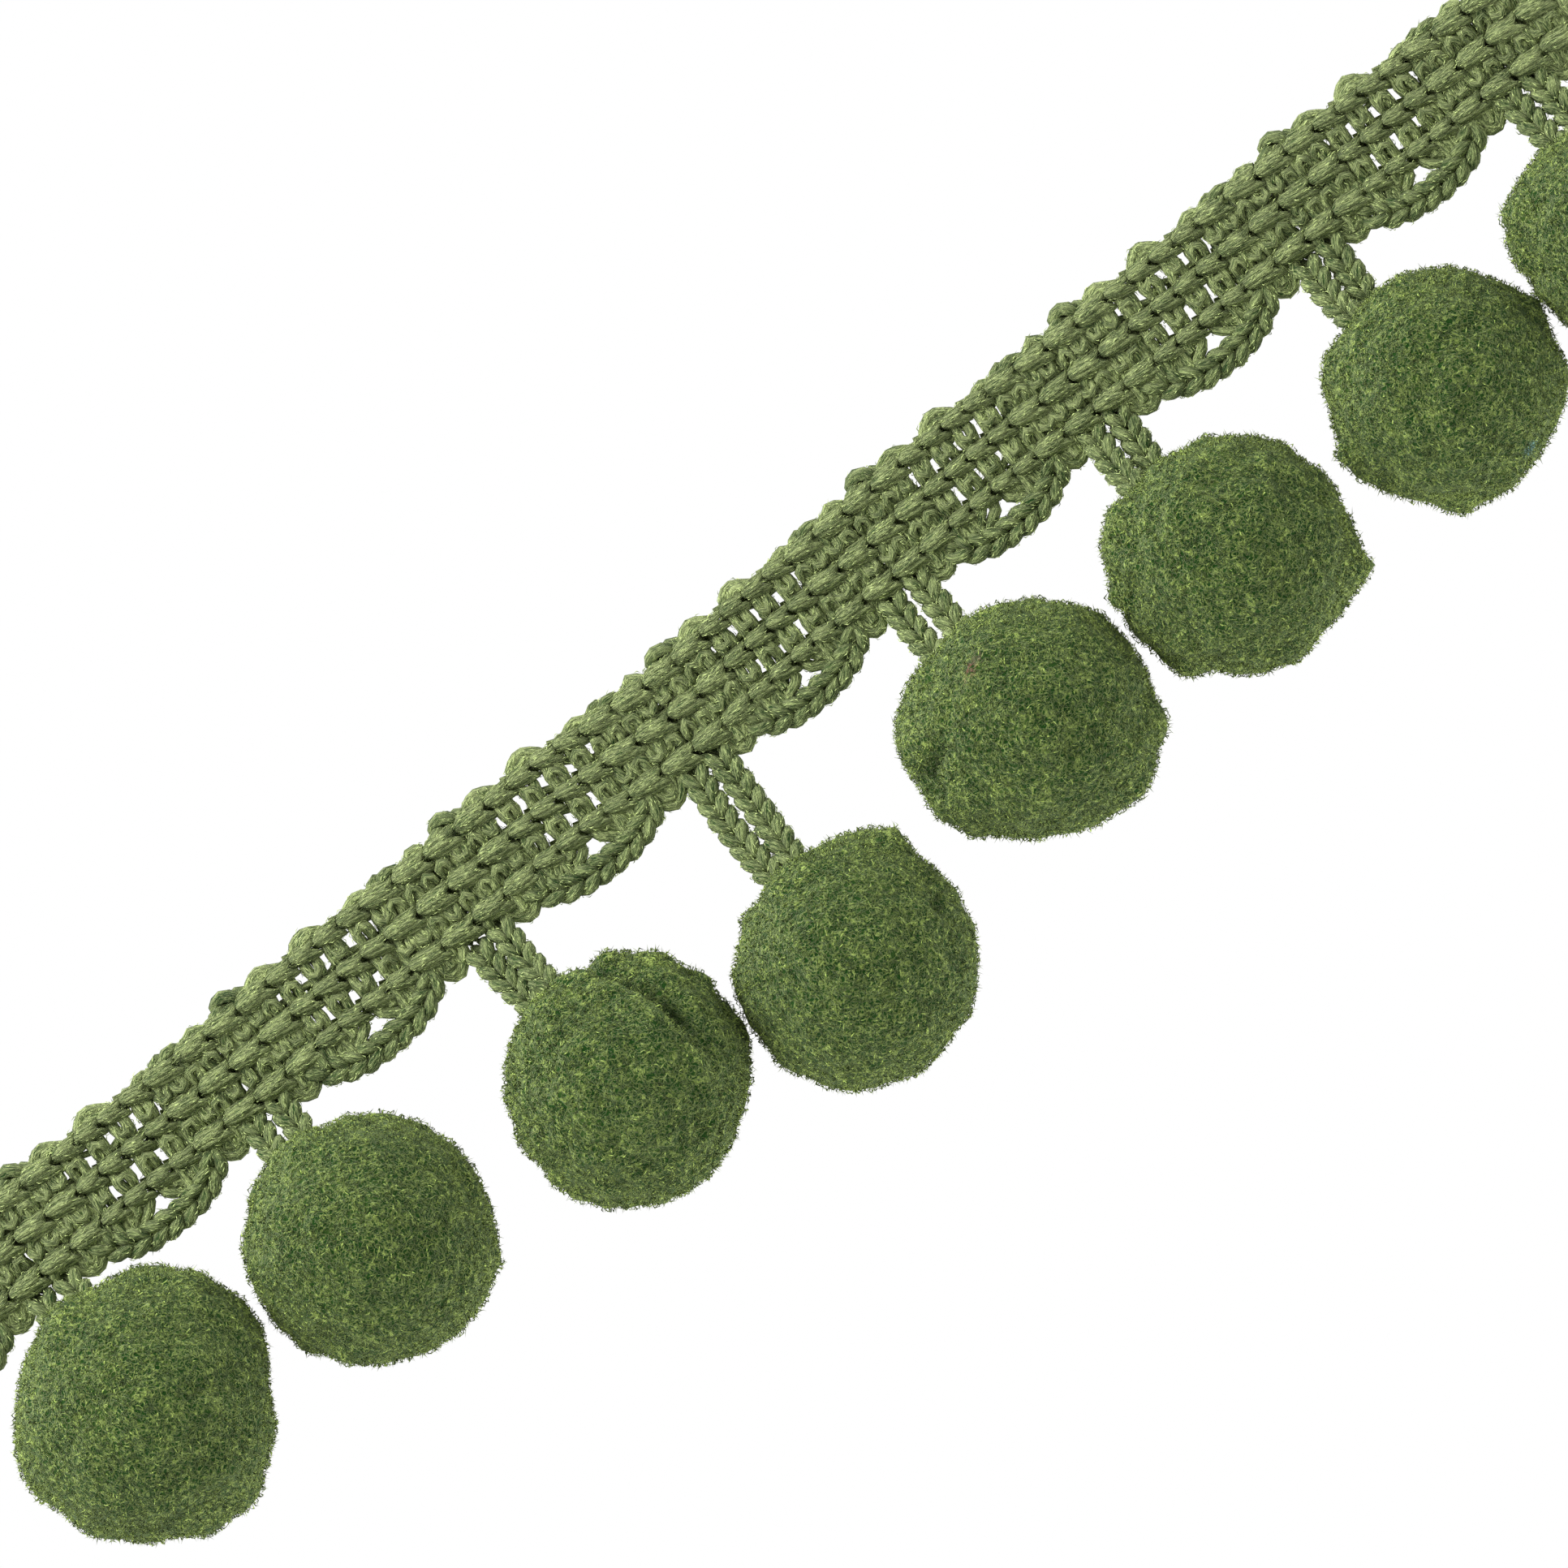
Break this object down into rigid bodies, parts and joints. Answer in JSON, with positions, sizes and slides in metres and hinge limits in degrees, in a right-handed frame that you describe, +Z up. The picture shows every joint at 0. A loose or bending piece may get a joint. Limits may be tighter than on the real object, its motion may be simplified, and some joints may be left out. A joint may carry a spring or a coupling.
{
  "type": "pompom fringe trim",
  "caption": "Cut length of knitted pompom fringe: a flat ribbed heading with a scalloped chain cord edge, paired cord stalks and fuzzy ball pompoms.",
  "frame": {"origin": "on the flat underside of the heading, in its middle rib, halfway between the fourth and fifth stalks", "axes": "+X along the trim, +Y towards the picot edge and away from the pompoms, +Z up from the surface that the trim lies on"},
  "size_m": [0.1679, 0.0404, 0.0205],
  "materials": {
    "heading_yarn": "knitted matte acrylic yarn",
    "cord_yarn": "chain-stitched matte acrylic yarn",
    "pompom_pile": "sheared fuzzy acrylic pile"
  },
  "bodies": {
    "root": {"heading": "heading_yarn", "scallop_1": "cord_yarn", "scallop_2": "cord_yarn", "scallop_3": "cord_yarn", "scallop_4": "cord_yarn", "scallop_5": "cord_yarn", "scallop_6": "cord_yarn", "scallop_7": "cord_yarn", "scallop_8": "cord_yarn", "scallop_9": "cord_yarn", "stalk_1_left": "cord_yarn", "stalk_1_right": "cord_yarn", "stalk_2_left": "cord_yarn", "stalk_2_right": "cord_yarn", "stalk_3_left": "cord_yarn", "stalk_3_right": "cord_yarn", "stalk_4_left": "cord_yarn", "stalk_4_right": "cord_yarn", "stalk_5_left": "cord_yarn", "stalk_5_right": "cord_yarn", "stalk_6_left": "cord_yarn", "stalk_6_right": "cord_yarn", "stalk_7_left": "cord_yarn", "stalk_7_right": "cord_yarn", "stalk_8_left": "cord_yarn", "stalk_8_right": "cord_yarn", "pompom_1": "pompom_pile", "pompom_2": "pompom_pile", "pompom_3": "pompom_pile", "pompom_4": "pompom_pile", "pompom_5": "pompom_pile", "pompom_6": "pompom_pile", "pompom_7": "pompom_pile", "pompom_8": "pompom_pile"}
  },
  "joints": []
}
